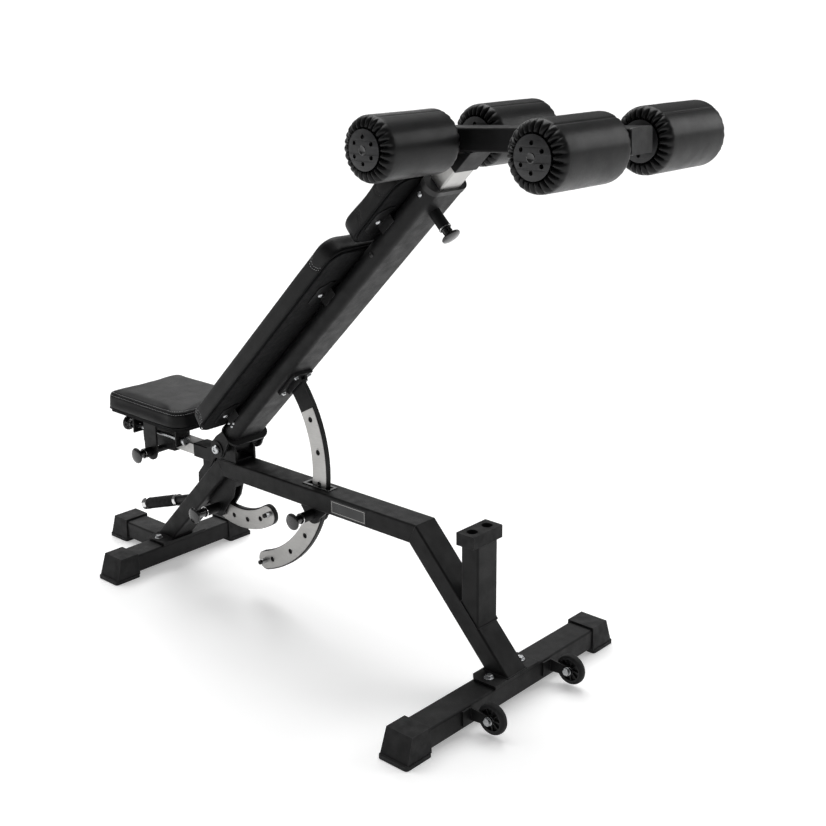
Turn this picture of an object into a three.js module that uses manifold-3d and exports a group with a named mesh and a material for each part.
// Adjustable decline sit up bench: a floor frame with a hinged seat and backrest, each locked by a
// pull pin in a drilled steel arc, and a sliding mast with foam leg rollers. Millimetres, +Z up.
// Bench coordinates put X = 0 at the front foot and +X towards the transport wheels; the exported
// group is shifted so that its origin is the centre of the bench's footprint on the floor.
import * as THREE from "three";
import { mergeVertices } from "three/addons/utils/BufferGeometryUtils.js";
import Module from "manifold-3d";

const wasm = await Module();
wasm.setup();

// ---- Driving dimensions ------------------------------------------------------------------------
const GAP = 0.3; // clearance between pieces that touch
const DEG = Math.PI / 180;

const TUBE = { width: 70, height: 50, wall: 2.5, corner: 5 };
const FOOT_BASE = 12; // underside of the foot tubes above the floor
const FOOT_TOP = FOOT_BASE + TUBE.height;
const PLATE = 8; // base plates
const LEG_BASE = FOOT_TOP + PLATE;

const FRONT_FOOT = { x: 0, half: 350 };
const REAR_FOOT = { x: -1207, half: 214 };
const TAIL_END = -1450; // outer end of the tail tube
const CAP = { length: 57, skirt: 24, width: 75, flangeWidth: 85, flange: 9, height: 68 };

const BEAM_TOP = 367;
const BEAM_BASE = BEAM_TOP - TUBE.height;
const BEAM_SLOT = [-637, -556]; // where the backrest's arc passes through
const FRONT_BEND = -241; // top corner of the front mitre
const FRONT_LANDING = 37; // where the front leg's top face meets its base plate
const REAR_BEND = -955; // top corner of the rear mitre
const REAR_LANDING = -1249;
const LEG_SLOT = [111, 184]; // down the rear leg from the mitre, for the seat's arc
const FRONT_PLATE = { start: -40, end: 38, half: 80 };
const REAR_PLATE = { start: REAR_LANDING - 3, end: -1168, half: 74 };

const PIVOT = { x: -912, z: 410, bolt: 10, bore: 10.5 };
const BACK_ANGLE = 45 * DEG;

const POST = { x: -77, width: 50, top: 363.7 };
const BUMPER = { width: 51, length: 104, height: 31, hole: 13, holeAt: 26 };

const SPINE = { start: 55, end: 1038, width: 122, depth: 49.5, base: -14.5, wall: 3 };
const PAD = { base: 42.2, thick: 53, corner: 45 };
const BACK_PAD = { start: 43, end: 800, half: 140 };
const HEAD_PAD = { start: 817, end: 1045, half: 112 };
const PAD_EDGE = 14; // softened edge round the top of each pad
const BOARD = 4; // backing sheet under each pad
const BRACKET = { half: 24, reach: 96, cheek: [34, 62], drop: 22 };
const BRACKETS = { pad_bracket_lower: 116, pad_bracket_upper: 636, head_bracket: 902 };
const YOKE = { half: 67, thick: 6, base: -29, top: 37.5, eye: 27, corner: 26 };
const SADDLE = { start: 277, end: 364, half: 30, thick: 8, cheek: 8, drop: 20 };

const MAST = { width: 66, depth: 38, start: 790, end: 1147, wall: 2.5 };
const ARM = { start: -178, end: 308, z: 1264.5, slope: 3.1 * DEG, width: 70, height: 50 };
const AXLE = { rear: [-141.5, 1253], front: [265, 1268], radius: 12.5, half: 271 };
const ROLLER = { radius: 66, near: 57, far: 278, disc: 42.5, bore: 18 };

const BACK_ARC = { inner: 298, outer: 350, holes: 323.5, half: 6, holeRadius: 7, stop: -117 };
const SEAT_ARC = { inner: 182, outer: 238, holes: 211, half: 6, holeRadius: 7, stop: -53 };
const STOP_PIN = { radius: 6, reach: 22 }; // the peg at each arc's free end
const ARC_STEP = 15; // degrees between two holes
const BACK_PIN_ANGLE = -21.5; // seen from the pivot, degrees
const SEAT_PIN_ANGLE = -110.5;
const SLOT = 9.5; // half width of the slots that the arcs pass through

const SEAT_ARM = { base: -68, top: -30, inner: -78, outer: -156, half: 25 };
const RAIL = { start: -106, end: -388, half: 22, base: -65, top: -33, wall: 2.5 };
const SEAT = { inner: -80, outer: -408, half: 132, outerHalf: 128, base: 45, top: 95 };
const SEAT_CORNER = { inner: 42, outer: 24 };
const CARRIAGE = { start: -378, end: -238, wall: 5, base: RAIL.base - 6, top: 35.7 };
const TABLE = { start: -388, end: -172, half: 62, base: 30 };
const GUIDE = { outer: -372, inner: -182, thick: 5, reach: 66, base: -36 };
const PULL_ROD = { y: -46, z: -20, radius: 5.5, bore: 6.2, outer: -422, inner: -158, stop: 12 };

const PIN = { radius: 5.5, bore: 6.1, housing: 13.5, knob: 22, lug: 26, clear: 0.5 };
const BACK_PIN = { sleeve: 43, stem: 19 };
const SEAT_PIN = { sleeve: 50, stem: 28 };
const SLIDE_PIN = { x: -298, z: -76, step: 20, sleeve: 28, stem: 15 };
const MAST_PIN = { back: 57, sleeve: 46, step: 50, stem: 15 };
const LUG_FACE = 15; // where a pin's sleeve starts, out from the centre plane
const SLIDE_LUG = { half: 27, near: -58, far: -64, eye: 24, bush: 9 };
const HANDLE = { root: [-1112, 201], end: [-1343, 124], radius: 12.5, grip: 16.5, bare: 88, tail: 19 };
const WHEEL = { x: 88, z: 43, radius: 37, width: 19, bore: 5.5, bolt: 5 };
const WHEEL_CENTRES = { left: -152, right: 137 };

const FRONT_SLOPE = Math.atan2(BEAM_TOP - LEG_BASE, FRONT_LANDING - FRONT_BEND);
const REAR_SLOPE = Math.atan2(BEAM_TOP - LEG_BASE, REAR_BEND - REAR_LANDING);

// ---- Materials ---------------------------------------------------------------------------------
const finish = (color, roughness, metalness) =>
  new THREE.MeshStandardMaterial({ color, roughness, metalness });
const POWDER_COAT = [0x2a2a2b, 0.55, 0.3];
const RUBBER = [0x1b1b1c, 0.85, 0];
const VINYL = [0x1d1d1e, 0.5, 0];
const PLASTIC = [0x202022, 0.5, 0];
const GLOSS = [0x111112, 0.2, 0];
const STEEL = [0xc9c9c6, 0.35, 1];
const ZINC = [0xb9bab8, 0.3, 1];
const PLYWOOD = [0x1a1a1a, 0.8, 0];

// ---- Solid helpers -----------------------------------------------------------------------------
function solid(geometry) {
  const bare = geometry.clone();
  bare.deleteAttribute("normal");
  bare.deleteAttribute("uv");
  const merged = mergeVertices(bare, 1e-4);
  const corners = merged.index.array;
  const kept = [];
  for (let i = 0; i < corners.length; i += 3) {
    const [a, b, c] = corners.slice(i, i + 3);
    if (a !== b && b !== c && c !== a) kept.push(a, b, c);
  }
  const build = (triangles) =>
    new wasm.Manifold(
      new wasm.Mesh({
        numProp: 3,
        vertProperties: merged.attributes.position.array,
        triVerts: new Uint32Array(triangles),
      }),
    );
  const made = build(kept);
  return made.volume() < 0 ? build(kept.reverse()) : made;
}

function meshOf(name, body, material) {
  const { vertProperties, triVerts } = body.getMesh();
  const geometry = new THREE.BufferGeometry();
  geometry.setAttribute("position", new THREE.BufferAttribute(vertProperties.slice(), 3));
  geometry.setIndex(new THREE.BufferAttribute(triVerts.slice(), 1));
  geometry.computeVertexNormals();
  const mesh = new THREE.Mesh(geometry, finish(...material));
  mesh.name = name;
  return mesh;
}

const join = (...bodies) => bodies.reduce((sum, body) => sum.add(body));
const cut = (body, ...tools) => tools.reduce((rest, tool) => rest.subtract(tool), body);

function box(x0, x1, y0, y1, z0, z1) {
  const geometry = new THREE.BoxGeometry(x1 - x0, y1 - y0, z1 - z0);
  geometry.translate((x0 + x1) / 2, (y0 + y1) / 2, (z0 + z1) / 2);
  return solid(geometry);
}

// A round bar along Y.
function rod(x, z, radius, y0, y1, sides = 20) {
  const geometry = new THREE.CylinderGeometry(radius, radius, y1 - y0, sides);
  geometry.translate(x, (y0 + y1) / 2, z);
  return solid(geometry);
}

// A turned body: [radius, height] points, spun about +Y.
function turned(profile, sides = 20) {
  return solid(new THREE.LatheGeometry(profile.map(([r, y]) => new THREE.Vector2(r, y)), sides));
}

const outline = (points) => new THREE.Shape(points.map(([x, z]) => new THREE.Vector2(x, z)));

// A shape drawn in X and Z, given a thickness along Y.
function slab(shape, y0, y1, curveSegments = 8) {
  const geometry = new THREE.ExtrudeGeometry(Array.isArray(shape) ? outline(shape) : shape, {
    depth: y1 - y0,
    bevelEnabled: false,
    curveSegments,
  });
  geometry.rotateX(Math.PI / 2);
  geometry.translate(0, y1, 0);
  return solid(geometry);
}

function roundedRect(width, height, radius) {
  const [w, h] = [width / 2, height / 2];
  const shape = new THREE.Shape();
  shape.absarc(w - radius, h - radius, radius, 0, Math.PI / 2);
  shape.absarc(radius - w, h - radius, radius, Math.PI / 2, Math.PI);
  shape.absarc(radius - w, radius - h, radius, Math.PI, 1.5 * Math.PI);
  shape.absarc(w - radius, radius - h, radius, 1.5 * Math.PI, 2 * Math.PI);
  shape.closePath();
  return shape;
}

// A bar of the given section from one [x, z] point to another; the section's own axes are Y and
// the bar's upward normal.
function bar(shape, from, to, curveSegments = 3) {
  const along = new THREE.Vector3(to[0] - from[0], 0, to[1] - from[1]);
  const length = along.length();
  along.normalize();
  const geometry = new THREE.ExtrudeGeometry(shape, {
    depth: length,
    bevelEnabled: false,
    curveSegments,
  });
  const up = new THREE.Vector3(-along.z, 0, along.x);
  const basis = new THREE.Matrix4().makeBasis(new THREE.Vector3(0, 1, 0), up, along);
  basis.setPosition(from[0], 0, from[1]);
  geometry.applyMatrix4(basis);
  return solid(geometry);
}

// A hollow rectangular tube, open at both ends.
function rectTube(from, to, { width, height, wall, corner } = TUBE) {
  const section = roundedRect(width, height, corner);
  section.holes.push(roundedRect(width - 2 * wall, height - 2 * wall, corner - wall));
  return bar(section, from, to);
}

// The same tube laid along Y.
function crossTube(x, z, y0, y1) {
  const section = roundedRect(TUBE.width, TUBE.height, TUBE.corner);
  const inside = [TUBE.width - 2 * TUBE.wall, TUBE.height - 2 * TUBE.wall];
  section.holes.push(roundedRect(...inside, TUBE.corner - TUBE.wall));
  return slab(section, y0, y1, 3).translate([x, 0, z]);
}

// A point t mm down the rear leg's top face from the beam, and n mm in from that face.
const onRearLeg = (t, n) => [
  REAR_BEND - t * Math.cos(REAR_SLOPE) + n * Math.sin(REAR_SLOPE),
  BEAM_TOP - t * Math.sin(REAR_SLOPE) - n * Math.cos(REAR_SLOPE),
];

// A strip of the rear leg's length and depth, wide enough to cut anything beside it.
function rearLegStrip(t0, t1, n0, n1, half) {
  const corners = [onRearLeg(t0, n0), onRearLeg(t1, n0), onRearLeg(t1, n1), onRearLeg(t0, n1)];
  return slab(corners, -half, half);
}

const ring = (outer, inner) => {
  const shape = new THREE.Shape();
  shape.absarc(0, 0, outer, 0, 2 * Math.PI);
  const hole = new THREE.Path();
  hole.absarc(0, 0, inner, 0, 2 * Math.PI);
  shape.holes.push(hole);
  return shape;
};

const polar = (radius, degrees) => [
  radius * Math.cos(degrees * DEG),
  radius * Math.sin(degrees * DEG),
];

// ---- Feet --------------------------------------------------------------------------------------
// A rubber boot over a tube end: it points along +Y, with its inner edge at Y = 0.
function footCap() {
  const { length, skirt, width, flangeWidth, flange, height } = CAP;
  const side = slab(
    [
      [-width / 2, height],
      [-flangeWidth / 2 + 2, flange - 1],
      [flangeWidth / 2 - 2, flange - 1],
      [width / 2, height],
    ],
    0,
    length + skirt,
  );
  const end = bar(
    outline([
      [0, flange - 1],
      [0, height],
      [length, height],
      [length + skirt - 6, flange - 1],
    ]),
    [-flangeWidth, 0],
    [flangeWidth, 0],
  );
  const base = roundedRect(flangeWidth, length + skirt, 8);
  const flangeGeometry = new THREE.ExtrudeGeometry(base, {
    depth: flange,
    bevelEnabled: false,
    curveSegments: 3,
  });
  flangeGeometry.translate(0, (length + skirt) / 2, 0);
  const socket = box(
    -TUBE.width / 2 - GAP,
    TUBE.width / 2 + GAP,
    -1,
    length - 4,
    FOOT_BASE - GAP,
    FOOT_TOP + GAP,
  );
  return cut(join(side.intersect(end), solid(flangeGeometry)), socket);
}

function placedCap(name, x, y, turn) {
  const mesh = meshOf(name, footCap(), RUBBER);
  mesh.position.set(x, y, 0);
  mesh.rotation.z = turn;
  return mesh;
}

function basePlate({ start, end, half }) {
  const chamfer = 14;
  const shape = outline([
    [start + chamfer, -half],
    [end, -half],
    [end, half],
    [start + chamfer, half],
    [start, half - chamfer],
    [start, chamfer - half],
  ]);
  const geometry = new THREE.ExtrudeGeometry(shape, { depth: PLATE - GAP, bevelEnabled: false });
  geometry.translate(0, 0, FOOT_TOP + GAP / 2);
  return solid(geometry);
}

function feet() {
  const group = new THREE.Group();
  const tubeZ = FOOT_BASE + TUBE.height / 2;
  const inset = CAP.length - 4 - GAP; // how far a tube reaches into its cap
  const front = crossTube(FRONT_FOOT.x, tubeZ, -FRONT_FOOT.half, FRONT_FOOT.half);
  const rear = crossTube(REAR_FOOT.x, tubeZ, -REAR_FOOT.half, REAR_FOOT.half);
  const tail = rectTube([TAIL_END, tubeZ], [REAR_FOOT.x - TUBE.width / 2 + 1, tubeZ]);
  group.add(meshOf("front_foot_tube", front, POWDER_COAT));
  group.add(meshOf("rear_foot_tube", join(rear, tail), POWDER_COAT));
  for (const [side, sign] of [["left", -1], ["right", 1]]) {
    const turn = sign > 0 ? 0 : Math.PI;
    const frontY = sign * (FRONT_FOOT.half - inset);
    const rearY = sign * (REAR_FOOT.half - inset);
    group.add(placedCap("foot_cap_front_" + side, FRONT_FOOT.x, frontY, turn));
    group.add(placedCap("foot_cap_rear_" + side, REAR_FOOT.x, rearY, turn));
  }
  group.add(placedCap("foot_cap_tail", TAIL_END + inset, 0, Math.PI / 2));
  return group;
}

// ---- Beam, legs and bumper ---------------------------------------------------------------------
// The mitred end of a tube run: everything beyond the plane through two [x, z] points goes.
function mitre(top, bottom, side) {
  const [dx, dz] = [top[0] - bottom[0], top[1] - bottom[1]];
  const reach = 20;
  const high = [bottom[0] + dx * reach, bottom[1] + dz * reach];
  const low = [bottom[0] - dx * reach, bottom[1] - dz * reach];
  const across = [dz * side * reach, -dx * side * reach];
  const far = (p) => [p[0] + across[0], p[1] + across[1]];
  const corners = side > 0 ? [low, far(low), far(high), high] : [low, high, far(high), far(low)];
  return slab(corners, -200, 200);
}

function frame() {
  const group = new THREE.Group();
  const half = TUBE.height / 2;
  const frontTop = [FRONT_BEND, BEAM_TOP];
  const frontBottom = [FRONT_BEND - TUBE.height * Math.tan(FRONT_SLOPE / 2), BEAM_BASE];
  const rearTop = [REAR_BEND, BEAM_TOP];
  const rearBottom = [REAR_BEND + TUBE.height * Math.tan(REAR_SLOPE / 2), BEAM_BASE];
  const shifted = (p, d) => [p[0] + d, p[1]];

  // The slot for the backrest's arc runs through the beam's top and bottom walls.
  const arcSlot = box(...BEAM_SLOT, -SLOT, SLOT, BEAM_BASE - 5, BEAM_TOP + 5);
  const beam = cut(
    rectTube([REAR_BEND - 60, BEAM_TOP - half], [FRONT_BEND + 60, BEAM_TOP - half]),
    mitre(frontTop, frontBottom, 1),
    mitre(rearTop, rearBottom, -1),
    arcSlot,
  );
  group.add(meshOf("main_beam", beam, POWDER_COAT));

  // Each leg is a mitred tube welded to its base plate.
  const floorCut = box(-1500, 300, -200, 200, -200, LEG_BASE - 1);
  const [c, d] = [Math.cos(FRONT_SLOPE), Math.sin(FRONT_SLOPE)];
  const onFrontLeg = (t) => [FRONT_BEND + c * t - half * d, BEAM_TOP - d * t - half * c];
  const frontTube = cut(
    rectTube(onFrontLeg(-40), onFrontLeg(480)),
    mitre(shifted(frontTop, GAP), shifted(frontBottom, GAP), -1),
    floorCut,
  );
  group.add(meshOf("front_leg", join(frontTube, basePlate(FRONT_PLATE)), POWDER_COAT));

  const rearTube = cut(
    rectTube(onRearLeg(480, half), onRearLeg(-40, half)),
    mitre(shifted(rearTop, -GAP), shifted(rearBottom, -GAP), 1),
    floorCut,
    rearLegStrip(...LEG_SLOT, -20, TUBE.height + 20, SLOT),
  );
  group.add(meshOf("rear_leg", join(rearTube, basePlate(REAR_PLATE)), POWDER_COAT));

  // The upright post is scribed to the sloping front leg, and carries a rubber bumper block.
  const legTop = (x) => BEAM_TOP - (x - FRONT_BEND) * Math.tan(FRONT_SLOPE) + GAP;
  const [x0, x1] = [POST.x - POST.width / 2, POST.x + POST.width / 2];
  const postSection = roundedRect(POST.width, TUBE.width, TUBE.corner);
  const inside = [POST.width - 2 * TUBE.wall, TUBE.width - 2 * TUBE.wall];
  postSection.holes.push(roundedRect(...inside, TUBE.corner - TUBE.wall));
  const postGeometry = new THREE.ExtrudeGeometry(postSection, {
    depth: POST.top,
    bevelEnabled: false,
    curveSegments: 3,
  });
  postGeometry.translate(POST.x, 0, 0);
  const below = slab(
    [
      [x0 - 20, -20],
      [x1 + 20, -20],
      [x1 + 20, legTop(x1 + 20)],
      [x0 - 20, legTop(x0 - 20)],
    ],
    -100,
    100,
  );
  group.add(meshOf("bumper_post", cut(solid(postGeometry), below), POWDER_COAT));

  const bumperBase = POST.top + GAP;
  const block = box(
    POST.x - BUMPER.width / 2,
    POST.x + BUMPER.width / 2,
    -BUMPER.length / 2,
    BUMPER.length / 2,
    bumperBase,
    bumperBase + BUMPER.height,
  );
  const well = (y) => {
    const geometry = new THREE.CylinderGeometry(BUMPER.hole, BUMPER.hole, 30, 16);
    geometry.rotateX(Math.PI / 2);
    geometry.translate(POST.x, y, bumperBase + BUMPER.height + 3);
    return solid(geometry);
  };
  const bumper = cut(block, well(-BUMPER.holeAt), well(BUMPER.holeAt));
  group.add(meshOf("bumper_block", bumper, RUBBER));
  return group;
}

// ---- Hinge tower and pin lugs ------------------------------------------------------------------
function hingeTower() {
  const eye = 29;
  const cheek = (y0, y1) => {
    const foot = slab(
      [
        [-950, BEAM_TOP],
        [-880, BEAM_TOP],
        [-880, 400],
        [PIVOT.x + eye * 0.7, PIVOT.z + eye * 0.7],
        [PIVOT.x - eye * 0.8, PIVOT.z + eye * 0.6],
      ],
      y0,
      y1,
    );
    return join(foot, rod(PIVOT.x, PIVOT.z, eye, y0, y1, 24));
  };
  const web = box(-936, -886, -30, 30, BEAM_TOP, BEAM_TOP + 5);
  const bore = rod(PIVOT.x, PIVOT.z, PIVOT.bore, -60, 60);
  const lift = GAP / 2;
  return cut(join(cheek(-35, -29), cheek(29, 35), web), bore).translate([0, 0, lift]);
}

// A pull pin's threaded sleeve along -Y, from a lug's outer face.
const sleeve = (x, z, length) => rod(x, z, PIN.housing, -LUG_FACE - length, -LUG_FACE, 16);

function backPinLug() {
  const [dx, dz] = polar(BACK_ARC.holes, BACK_PIN_ANGLE);
  const [x, z] = [PIVOT.x + dx, PIVOT.z + dz];
  const top = BEAM_BASE - GAP;
  const plate = slab(
    [
      [x + 48, top],
      [x + 48, top - 12],
      [x + 26, z - 6],
      [x - 24, z - 8],
      [x - 41, top - 12],
      [x - 41, top],
    ],
    -16,
    16,
  );
  const round = rod(x, z, PIN.lug, -16, 16, 24);
  const arcWay = join(
    box(x - 60, x + 60, -SLOT, SLOT, z - 60, top - 13),
    box(x - 26, x + 40, -SLOT, SLOT, z - 60, top + 5),
  );
  const pinBore = rod(x, z, PIN.bore, -90, 30, 16);
  const above = box(x - 60, x + 60, -60, 60, top, top + 40);
  const cheeks = join(cut(plate, arcWay), cut(round, arcWay));
  return cut(join(cheeks, sleeve(x, z, BACK_PIN.sleeve)), pinBore, above);
}

function seatPinLug() {
  const [dx, dz] = polar(SEAT_ARC.holes, SEAT_PIN_ANGLE);
  const [x, z] = [PIVOT.x + dx, PIVOT.z + dz];
  const top = BEAM_BASE - GAP;
  const under = TUBE.height + GAP;
  const bend = TUBE.height * Math.tan(REAR_SLOPE / 2);
  const plate = slab(
    [
      [REAR_BEND + bend + 30, top],
      [x + 62, z + 44],
      [x + 24, z - 6],
      [x - 10, z - 20],
      onRearLeg(150, under),
      onRearLeg(bend, under - 1),
    ],
    -16,
    16,
  );
  const round = rod(x, z, PIN.lug, -16, 16, 24);
  const legSide = rearLegStrip(-60, 400, -100, under, 40);
  const beamSide = box(x - 60, x + 200, -60, 60, top, top + 60);
  const arcWay = box(x - 100, x + 140, -SLOT, SLOT, z - 60, 286);
  const pinBore = rod(x, z, PIN.bore, -90, 30, 16);
  const lug = cut(join(plate, round), legSide, beamSide, arcWay);
  return cut(join(lug, sleeve(x, z, SEAT_PIN.sleeve)), pinBore);
}

// A pull pin's moving part, turned about +Y from the plunger's tip: plunger, stem, mushroom knob.
function pullKnob(plunger, stem) {
  const cap = plunger + stem;
  const profile = [
    [0, 0],
    [PIN.radius - 1, 0],
    [PIN.radius, 1.5],
    [PIN.radius, plunger],
    [PIN.knob / 2, plunger],
    [PIN.knob / 2, cap],
    [PIN.knob - 2, cap + 3],
    [PIN.knob, cap + 6],
    [PIN.knob - 3, cap + 10],
    [PIN.knob / 2, cap + 12],
    [0, cap + 12.5],
  ];
  return turned(profile, 16);
}

// A knob pulled along -Y: the resting plunger stops just clear of the plate that it locks.
function knobAlongY(name, x, z, plateHalf, sleeveEnd, stem) {
  const tip = plateHalf + PIN.clear;
  const mesh = meshOf(name, pullKnob(sleeveEnd + GAP - tip, stem), GLOSS);
  mesh.position.set(x, -tip, z);
  mesh.rotation.x = Math.PI;
  return mesh;
}

// ---- Wheels and handle -------------------------------------------------------------------------
function wheelBracket(y) {
  const face = FRONT_FOOT.x + TUBE.width / 2 + GAP;
  const armY = y - WHEEL.width / 2 - 1.5;
  const flange = box(face, face + 4, armY - 30, armY, 22, 58);
  const arm = slab(
    [
      [face, WHEEL.z - 17],
      [WHEEL.x, WHEEL.z - 11],
      [WHEEL.x + 9, WHEEL.z - 6],
      [WHEEL.x + 11, WHEEL.z],
      [WHEEL.x + 9, WHEEL.z + 6],
      [WHEEL.x, WHEEL.z + 11],
      [face, WHEEL.z + 15],
    ],
    armY - 4,
    armY,
  );
  const bolt = join(
    rod(WHEEL.x, WHEEL.z, WHEEL.bolt, armY - 10, y + WHEEL.width / 2 + 8, 16),
    rod(WHEEL.x, WHEEL.z, 8.5, armY - 10, armY - 3, 6),
    rod(WHEEL.x, WHEEL.z, 8.5, y + WHEEL.width / 2 + 1, y + WHEEL.width / 2 + 7, 6),
  );
  return join(flange, arm, bolt);
}

function wheel(name, y) {
  const half = WHEEL.width / 2;
  const body = turned(
    [
      [WHEEL.bore, -half],
      [WHEEL.radius - 9, -half],
      [WHEEL.radius - 3, -half + 1.5],
      [WHEEL.radius, -half + 5],
      [WHEEL.radius, half - 5],
      [WHEEL.radius - 3, half - 1.5],
      [WHEEL.radius - 9, half],
      [WHEEL.bore, half],
      [WHEEL.bore, -half],
    ],
    28,
  );
  const mesh = meshOf(name, body, RUBBER);
  mesh.position.set(WHEEL.x, y, WHEEL.z);
  return mesh;
}

// The lifting handle points out of the rear leg along the bench, a little downwards.
function handle() {
  const group = new THREE.Group();
  const { root, end, radius, grip, bare, tail } = HANDLE;
  const run = Math.hypot(end[0] - root[0], end[1] - root[1]);
  const at = (t) => [0, 1].map((i) => root[i] + ((end[i] - root[i]) * t) / run);
  const legSide = rearLegStrip(-60, 400, -GAP, 60, 40);
  const tube = cut(bar(ring(radius, radius - 2.5), at(run), at(-30), 8), legSide);
  group.add(meshOf("handle_tube", tube, POWDER_COAT));
  const sheath = bar(ring(grip, radius + GAP), at(run - tail), at(bare), 10);
  group.add(meshOf("handle_grip", sheath, RUBBER));
  return group;
}

// ---- Backrest: local X runs up the spine from the pivot, local Z out through the pads ----------
function spineSection(grow) {
  return roundedRect(SPINE.width + 2 * grow, SPINE.depth + 2 * grow, SPINE.depth / 2 + grow);
}

// One flat layer of a backrest pad, drawn inwards by an inset.
function padLayer({ start, end, half }, inset, z0, z1) {
  const shape = roundedRect(end - start - 2 * inset, 2 * (half - inset), PAD.corner - inset);
  const geometry = new THREE.ExtrudeGeometry(shape, {
    depth: z1 - z0,
    bevelEnabled: false,
    curveSegments: 5,
  });
  geometry.translate((start + end) / 2, 0, z0);
  return solid(geometry);
}

// Stacked layers give a pad its softened top edge.
function stacked(layer, base, top) {
  return join(
    layer(0, base, top - PAD_EDGE),
    layer(4, base + 1, top - PAD_EDGE / 2),
    layer(PAD_EDGE - 2, base + 2, top),
  );
}

const padSolid = (pad) =>
  stacked((inset, z0, z1) => padLayer(pad, inset, z0, z1), PAD.base, PAD.base + PAD.thick);
const boardSolid = (pad) => padLayer(pad, 8, PAD.base - BOARD + GAP, PAD.base - GAP);

// A cross bracket between the spine and a pad: a flat strap with a saddle seat on the spine.
function padBracket(x) {
  const top = PAD.base - BOARD - GAP;
  const spineTop = SPINE.base + SPINE.depth;
  const middle = spineTop - SPINE.depth / 2;
  const { half, reach, cheek, drop } = BRACKET;
  const [near, far] = cheek;
  const strap = box(x - half, x + half, -reach, reach, spineTop + GAP, top);
  const trough = bar(spineSection(GAP), [x - 40, middle], [x + 40, middle], 8);
  const left = box(x - half, x + half, -far, -near, top - drop, top);
  const right = box(x - half, x + half, near, far, top - drop, top);
  return cut(join(strap, left, right), trough);
}

// The yoke: a plate across the spine's lower end, and an ear on each side at the pivot.
function yoke() {
  const { half, thick, base, top, eye, corner } = YOKE;
  const face = SPINE.start - GAP;
  const middle = (base + top) / 2;
  const section = roundedRect(2 * half, top - base, corner);
  const end = bar(section, [face - thick, middle], [face, middle], 6);
  const ear = (y0, y1) => {
    const arm = slab(
      [
        [0, -eye],
        [face - 1, -12],
        [face - 1, 22],
        [24, 27],
        [-3, eye - 0.5],
      ],
      y0,
      y1,
    );
    return join(arm, rod(0, 0, eye, y0, y1, 24));
  };
  const bore = rod(0, 0, PIVOT.bore, -80, 80);
  return cut(join(end, ear(-half, thick - half), ear(half - thick, half)), bore);
}

// An arc plate about the pivot, angles in degrees, with a rounded free end at the first angle.
function arcPlate({ inner, outer, holes, half, holeRadius, stop }, free, fixed, holeAngles) {
  const middle = (inner + outer) / 2;
  const points = [];
  const sweep = (centre, radius, from, to, steps) => {
    for (let i = 0; i <= steps; i += 1) {
      const [x, z] = polar(radius, from + ((to - from) * i) / steps);
      points.push([centre[0] + x, centre[1] + z]);
    }
  };
  const steps = Math.ceil(Math.abs(fixed - free) / 4);
  const turn = fixed > free ? -180 : 180;
  sweep([0, 0], outer, free, fixed, steps);
  sweep([0, 0], inner, fixed, free, steps);
  sweep(polar(middle, free), (outer - inner) / 2, free + turn, free, 10);
  const shape = outline(points);
  for (const angle of holeAngles) {
    const hole = new THREE.Path();
    hole.absarc(...polar(holes, angle), holeRadius, 0, 2 * Math.PI);
    shape.holes.push(hole);
  }
  const plate = slab(shape, -half, half, 7);
  const peg = rod(...polar(middle, stop), STOP_PIN.radius, -half - STOP_PIN.reach, 0, 12);
  return join(plate, peg);
}

// The saddle under the spine that holds the arc's head between two cheeks.
function saddle() {
  const top = SPINE.base - GAP;
  const { start, end, half, thick, cheek, drop } = SADDLE;
  const flange = box(start, end, -half, half, top - thick, top);
  const side = (y0, y1) =>
    slab(
      [
        [start + 6, top - 2],
        [start + 16, top - drop],
        [end - 16, top - drop],
        [end - 6, top - 2],
      ],
      y0,
      y1,
    );
  const near = BACK_ARC.half + GAP;
  return join(flange, side(-near - cheek, -near), side(near, near + cheek));
}

// A round bar along the local Z axis on the centre plane.
function upright(x, radius, z0, z1, sides = 16) {
  const geometry = new THREE.CylinderGeometry(radius, radius, z1 - z0, sides);
  geometry.rotateX(Math.PI / 2);
  geometry.translate(x, 0, (z0 + z1) / 2);
  return solid(geometry);
}

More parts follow.
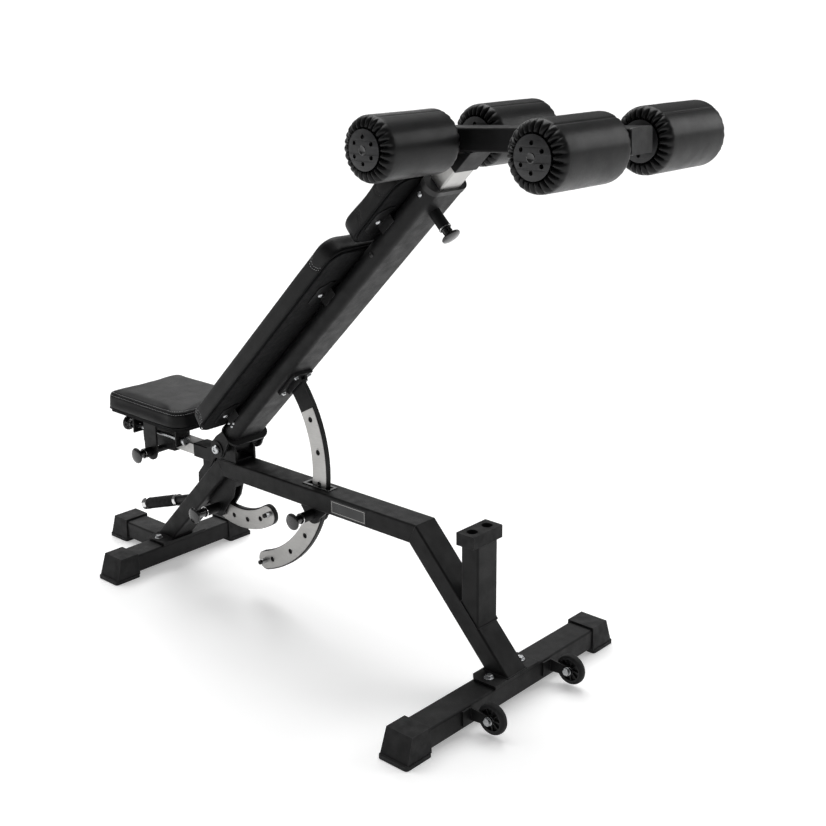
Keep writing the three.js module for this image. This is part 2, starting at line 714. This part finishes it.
function backrest() {
  const group = new THREE.Group();
  group.position.set(PIVOT.x, 0, PIVOT.z);
  group.rotation.y = -BACK_ANGLE;
  const middle = SPINE.base + SPINE.depth / 2;

  const section = spineSection(0);
  section.holes.push(spineSection(-SPINE.wall));
  const pinX = SPINE.end - MAST_PIN.back;
  const pinEnd = SPINE.base - MAST_PIN.sleeve; // outer end of the mast pin's sleeve
  const shell = bar(section, [SPINE.start, middle], [SPINE.end, middle], 6);
  const spine = cut(
    join(shell, upright(pinX, PIN.housing, pinEnd, SPINE.base + SPINE.wall)),
    upright(pinX, PIN.bore, pinEnd - 5, SPINE.base + 10),
  );
  group.add(meshOf("spine_tube", spine, POWDER_COAT));
  group.add(meshOf("spine_yoke", yoke(), POWDER_COAT));

  // The arc hangs from the saddle, with its holes one step apart from the highest backrest to flat.
  const first = BACK_PIN_ANGLE - 45 - 3 * ARC_STEP;
  const holeAngles = Array.from({ length: 7 }, (_, i) => first + i * ARC_STEP);
  const arc = arcPlate(BACK_ARC, BACK_ARC.stop, -4.8, holeAngles);
  group.add(meshOf("back_arc", arc, POWDER_COAT));
  group.add(meshOf("arc_saddle", saddle(), POWDER_COAT));

  for (const [name, x] of Object.entries(BRACKETS)) {
    group.add(meshOf(name, padBracket(x), POWDER_COAT));
  }
  group.add(meshOf("back_board", boardSolid(BACK_PAD), PLYWOOD));
  group.add(meshOf("head_board", boardSolid(HEAD_PAD), PLYWOOD));
  group.add(meshOf("back_pad", padSolid(BACK_PAD), VINYL));
  group.add(meshOf("head_pad", padSolid(HEAD_PAD), VINYL));

  // The collar closes the spine's open end and guides the mast.
  const onSpine = (x) => [SPINE.end + x, middle];
  const plug = bar(spineSection(-SPINE.wall - GAP), onSpine(-40), onSpine(2), 5);
  const rim = bar(spineSection(1), onSpine(GAP), onSpine(14), 5);
  const [wayY, wayZ] = [MAST.width / 2 + 0.4, MAST.depth / 2 + 0.4];
  const way = box(SPINE.end - 60, SPINE.end + 40, -wayY, wayY, middle - wayZ, middle + wayZ);
  group.add(meshOf("spine_collar", cut(join(plug, rim), way), PLASTIC));

  // The pin points at one of the holes along the mast's underside.
  const tip = middle - MAST.depth / 2 - PIN.clear;
  const knob = meshOf("mast_pin_knob", pullKnob(tip - pinEnd + GAP, MAST_PIN.stem), GLOSS);
  knob.position.set(pinX, 0, tip);
  knob.rotation.x = -Math.PI / 2;
  group.add(knob);

  const mastSection = { width: MAST.width, height: MAST.depth, wall: MAST.wall, corner: 4 };
  const armUnder = armUnderside();
  const mastHoles = Array.from({ length: 4 }, (_, i) =>
    upright(pinX - i * MAST_PIN.step, 7, middle - MAST.depth / 2 - 5, middle - 5),
  );
  const mastTube = rectTube([MAST.start, middle], [MAST.end + 60, middle], mastSection);
  const mast = cut(mastTube, armUnder, ...mastHoles);
  group.add(meshOf("mast_tube", mast, STEEL));
  return group;
}

// The space above the roller arm's underside, in the backrest's local frame.
function armUnderside() {
  const above = box(ARM.start - 200, ARM.end + 200, -200, 200, -ARM.height / 2 - GAP, 300);
  return above
    .rotate([0, -ARM.slope / DEG, 0])
    .translate([(ARM.start + ARM.end) / 2 - PIVOT.x, 0, ARM.z - PIVOT.z])
    .rotate([0, BACK_ANGLE / DEG, 0]);
}

// ---- Roller head: local X runs along the arm ---------------------------------------------------
function rollerHead() {
  const group = new THREE.Group();
  const centre = (ARM.start + ARM.end) / 2;
  const length = ARM.end - ARM.start;
  const section = { width: ARM.width, height: ARM.height, wall: 2.5, corner: 5 };

  const arm = new THREE.Group();
  arm.position.set(centre, 0, ARM.z);
  arm.rotation.y = -ARM.slope;
  const local = ([x, z]) => {
    const [dx, dz] = [x - centre, z - ARM.z];
    const [c, s] = [Math.cos(ARM.slope), Math.sin(ARM.slope)];
    return [dx * c + dz * s, dz * c - dx * s];
  };
  const axleBore = (at) => rod(...local(at), AXLE.radius + GAP, -60, 60, 20);
  const tubeEnd = length / 2 - 6;
  const tube = cut(
    rectTube([-tubeEnd, 0], [tubeEnd, 0], section),
    axleBore(AXLE.rear),
    axleBore(AXLE.front),
  );
  arm.add(meshOf("roller_arm", tube, POWDER_COAT));
  const lid = roundedRect(ARM.width, ARM.height, 6);
  const stub = roundedRect(ARM.width - 6, ARM.height - 6, 2);
  for (const [place, sign] of [["rear", -1], ["front", 1]]) {
    const between = (near, far) => (sign > 0 ? [[near, 0], [far, 0]] : [[-far, 0], [-near, 0]]);
    const plug = bar(stub, ...between(tubeEnd - 10, tubeEnd + 1));
    const cap = join(bar(lid, ...between(tubeEnd + GAP, length / 2)), plug);
    arm.add(meshOf("arm_cap_" + place, cap, PLASTIC));
  }
  group.add(arm);

  for (const [place, [x, z]] of Object.entries({ rear: AXLE.rear, front: AXLE.front })) {
    const bore = rod(x, z, AXLE.radius - 3, -400, 400, 16);
    const axle = cut(rod(x, z, AXLE.radius, -AXLE.half, AXLE.half), bore);
    group.add(meshOf("axle_" + place, axle, POWDER_COAT));
    for (const [side, sign] of [["left", -1], ["right", 1]]) {
      const label = place + "_" + side;
      for (const mesh of roller(label)) {
        mesh.position.set(x, 0, z);
        if (sign < 0) mesh.rotation.x = Math.PI;
        group.add(mesh);
      }
    }
  }
  return group;
}

// One foam roller and the hub that carries it, along +Y.
function roller(label) {
  const { radius, near, far, disc, bore } = ROLLER;
  const round = radius - disc - 1.5;
  const seat = 7; // how deep the foam dishes in around each end disc
  const profile = [[bore, near + seat], [disc + 0.6, near + seat]];
  const fillet = (centreY, from) => {
    for (let i = 0; i <= 4; i += 1) {
      const angle = (from + i * 22.5) * DEG;
      profile.push([radius - round + round * Math.cos(angle), centreY + round * Math.sin(angle)]);
    }
  };
  fillet(near + round, -90);
  fillet(far - round, 0);
  profile.push([disc + 0.6, far - seat], [bore, far - seat], [bore, near + seat]);

  const hub = [
    [AXLE.radius + 0.4, near + 6.6],
    [AXLE.radius + 0.4, near - 4],
    [24, near - 4],
    [disc, near + 1],
    [disc, near + 6.6],
    [bore - 0.4, near + 6.6],
    [bore - 0.4, far - 6.6],
    [disc, far - 6.6],
    [disc, far - 1],
    [24, far + 4],
    [0, far + 5],
    [0, far - 6],
    [AXLE.radius + 0.4, far - 6],
    [AXLE.radius + 0.4, near + 6.6],
  ];
  return [
    meshOf("foam_roller_" + label, turned(profile, 24), VINYL),
    meshOf("roller_hub_" + label, turned(hub, 20), PLASTIC),
  ];
}

// ---- Seat: local origin at the pivot, level at rest --------------------------------------------
function seat() {
  const group = new THREE.Group();
  group.position.set(PIVOT.x, 0, PIVOT.z);

  const armSection = {
    width: 2 * SEAT_ARM.half,
    height: SEAT_ARM.top - SEAT_ARM.base,
    wall: 2.5,
    corner: 3,
  };
  const armMiddle = (SEAT_ARM.top + SEAT_ARM.base) / 2;
  const bevelled = slab(
    [
      [-33.3, -20],
      [-20, -20],
      [-20, -90],
      [-101.4, -90],
    ],
    -60,
    60,
  );
  const armTube = rectTube([SEAT_ARM.outer, armMiddle], [SEAT_ARM.inner + 30, armMiddle], armSection);
  const cheek = (y0, y1) =>
    slab(
      [
        [-92, -32],
        [-46, -36],
        [-20, -14],
        [4, 23],
        [-20, 20],
        [-60, -16],
        [-100, -30.5],
      ],
      y0,
      y1,
    );
  const hub = rod(0, 0, 24, -SEAT_ARM.half, SEAT_ARM.half, 24);
  const cheeks = join(cheek(-SEAT_ARM.half, 6 - SEAT_ARM.half), cheek(SEAT_ARM.half - 6, SEAT_ARM.half));
  const arm = cut(join(cut(armTube, bevelled), cheeks, hub), rod(0, 0, PIVOT.bore, -60, 60));
  group.add(meshOf("seat_arm", arm, POWDER_COAT));

  const railMiddle = (RAIL.base + RAIL.top) / 2;
  const railSection = {
    width: 2 * RAIL.half,
    height: RAIL.top - RAIL.base,
    wall: RAIL.wall,
    corner: 3,
  };
  const rail = rectTube([RAIL.end, railMiddle], [RAIL.start, railMiddle], railSection);
  const { x: lugX, z: lugZ, step } = SLIDE_PIN;
  const ladder = box(RAIL.end, lugX + 14, -5, 5, RAIL.base - 21, RAIL.base + 1);
  const ladderHoles = [0, 1, 2, 3].map((i) => rod(lugX - i * step, lugZ, 6.3, -20, 20, 12));
  group.add(meshOf("seat_rail", cut(join(rail, ladder), ...ladderHoles), STEEL));

  // The arc's root is a tab under the arm; its holes are one step apart.
  const holeAngles = Array.from({ length: 4 }, (_, i) => SEAT_PIN_ANGLE + i * ARC_STEP);
  const band = arcPlate(SEAT_ARC, -56, -132, holeAngles);
  const root = slab(
    [
      [-142, SEAT_ARM.base - GAP],
      [-142, -94],
      [-166, -122],
      [-168, -148],
      [-150, -182],
      [-121, -137],
      [-133, -120],
      [-94, SEAT_ARM.base - GAP],
    ],
    -SEAT_ARC.half,
    SEAT_ARC.half,
  );
  group.add(meshOf("seat_arc", join(band, root), POWDER_COAT));

  // The carriage wraps the rail and hangs the slide pin's lug on its left side.
  const { start: c0, end: c1, wall, base, top } = CARRIAGE;
  const inner = RAIL.half + 1;
  const channel = cut(
    box(c0, c1, -inner - wall, inner + wall, base, top),
    box(c0 - 5, c1 + 5, -inner, inner, RAIL.base - 1, RAIL.top + 1),
    box(c0 - 5, c1 + 5, -inner, inner, RAIL.top + 7, TABLE.base),
    box(c0 - 5, c1 + 5, -6, 6, RAIL.base - 30, RAIL.base + 5),
  );
  const table = box(TABLE.start, TABLE.end, -TABLE.half, TABLE.half, TABLE.base, top);
  const guide = (x) =>
    box(x, x + GUIDE.thick, -GUIDE.reach, 1 - inner - wall, GUIDE.base, top - 1);
  const { half: lugHalf, near, far, eye, bush } = SLIDE_LUG;
  const lug = join(
    box(lugX - lugHalf, lugX + lugHalf, far, near, lugZ, top - 1),
    box(lugX - lugHalf, lugX + lugHalf, far, -inner, TABLE.base - 2, top),
    rod(lugX, lugZ, eye, far, near, 20),
    rod(lugX, lugZ, bush, near - 2, -7, 16),
    rod(lugX, lugZ, PIN.housing, near - 4 - SLIDE_PIN.sleeve, near - 4, 16),
  );
  const carriage = cut(
    join(channel, table, guide(GUIDE.outer), guide(GUIDE.inner), lug),
    rod(lugX, lugZ, PIN.bore, -100, 20, 16),
    alongX(PULL_ROD.bore, PULL_ROD.outer, PULL_ROD.inner),
  );
  group.add(meshOf("seat_carriage", carriage, POWDER_COAT));
  const slideEnd = SLIDE_PIN.sleeve + 4 - near;
  const slideTip = 5; // half the ladder's thickness
  group.add(knobAlongY("slide_pin_knob", lugX, lugZ, slideTip, slideEnd, SLIDE_PIN.stem));

  // The pull rod slides lengthways through its guides, with a knob under the seat's outer end.
  const { radius, outer: rodOuter, inner: rodInner, stop } = PULL_ROD;
  const pullRod = join(
    alongX(radius, rodOuter + 18, rodInner - 2),
    alongX(PIN.knob, rodOuter, rodOuter + 12, 18),
    alongX(stop, rodOuter + 11, rodOuter + 24),
    alongX(stop, rodInner - 10, rodInner),
  );
  group.add(meshOf("seat_pull_rod", pullRod, GLOSS));

  const board = seatLayer(9, CARRIAGE.top + GAP, SEAT.base - GAP);
  group.add(meshOf("seat_board", board, PLYWOOD));
  group.add(meshOf("seat_pad", stacked(seatLayer, SEAT.base, SEAT.top), VINYL));
  return group;
}

// A round bar along X on the pull rod's axis.
function alongX(radius, x0, x1, sides = 14) {
  const geometry = new THREE.CylinderGeometry(radius, radius, x1 - x0, sides);
  geometry.rotateZ(Math.PI / 2);
  geometry.translate((x0 + x1) / 2, PULL_ROD.y, PULL_ROD.z);
  return solid(geometry);
}

// One horizontal layer of the tapered seat, drawn inwards by an inset.
function seatLayer(inset, z0, z1) {
  const points = [];
  const [r0, r1] = [SEAT_CORNER.outer - inset, SEAT_CORNER.inner - inset];
  const [x0, x1] = [SEAT.outer + inset, SEAT.inner - inset];
  const [h0, h1] = [SEAT.outerHalf - inset, SEAT.half - inset];
  const arc = (x, y, radius, from) => {
    for (let i = 0; i <= 5; i += 1) {
      const [dx, dy] = polar(radius, from + i * 18);
      points.push(new THREE.Vector2(x + dx, y + dy));
    }
  };
  arc(x1 - r1, h1 - r1, r1, 0);
  arc(x0 + r0, h0 - r0, r0, 90);
  arc(x0 + r0, r0 - h0, r0, 180);
  arc(x1 - r1, r1 - h1, r1, 270);
  const geometry = new THREE.ExtrudeGeometry(new THREE.Shape(points), {
    depth: z1 - z0,
    bevelEnabled: false,
  });
  geometry.translate(0, 0, z0);
  return solid(geometry);
}

// ---- Pivot bolt --------------------------------------------------------------------------------
function pivotBolt() {
  const at = (radius, y0, y1, sides) => rod(PIVOT.x, PIVOT.z, radius, y0, y1, sides);
  const body = at(PIVOT.bolt, -72, 72);
  const heads = join(at(15, -78, -67.5, 24), at(15, 67.5, 78, 24));
  const spacers = join(at(14, -60.5, -35.5), at(14, 35.5, 60.5));
  return join(body, heads, spacers);
}

// ---- Assembly ----------------------------------------------------------------------------------
const bench = new THREE.Group();
bench.add(feet(), frame(), backrest(), rollerHead(), seat(), handle());
bench.add(meshOf("hinge_tower", hingeTower(), POWDER_COAT));
bench.add(meshOf("back_pin_lug", backPinLug(), POWDER_COAT));
bench.add(meshOf("seat_pin_lug", seatPinLug(), POWDER_COAT));
bench.add(meshOf("pivot_bolt", pivotBolt(), ZINC));
const [backX, backZ] = polar(BACK_ARC.holes, BACK_PIN_ANGLE);
const [seatX, seatZ] = polar(SEAT_ARC.holes, SEAT_PIN_ANGLE);
const lockKnob = (name, dx, dz, { half }, { sleeve: length, stem }) =>
  knobAlongY(name, PIVOT.x + dx, PIVOT.z + dz, half, LUG_FACE + length, stem);
bench.add(lockKnob("back_pin_knob", backX, backZ, BACK_ARC, BACK_PIN));
bench.add(lockKnob("seat_pin_knob", seatX, seatZ, SEAT_ARC, SEAT_PIN));
for (const [side, y] of Object.entries(WHEEL_CENTRES)) {
  bench.add(meshOf("wheel_bracket_" + side, wheelBracket(y), POWDER_COAT));
  bench.add(wheel("wheel_" + side, y));
}

// The footprint's centre, between the tail cap's skirt and the front rollers.
const backEnd = TAIL_END + CAP.length - 4 - GAP - CAP.length - CAP.skirt;
const frontEnd = AXLE.front[0] + ROLLER.radius;
bench.position.x = -(backEnd + frontEnd) / 2;

const part = new THREE.Group();
part.add(bench);
export default part;
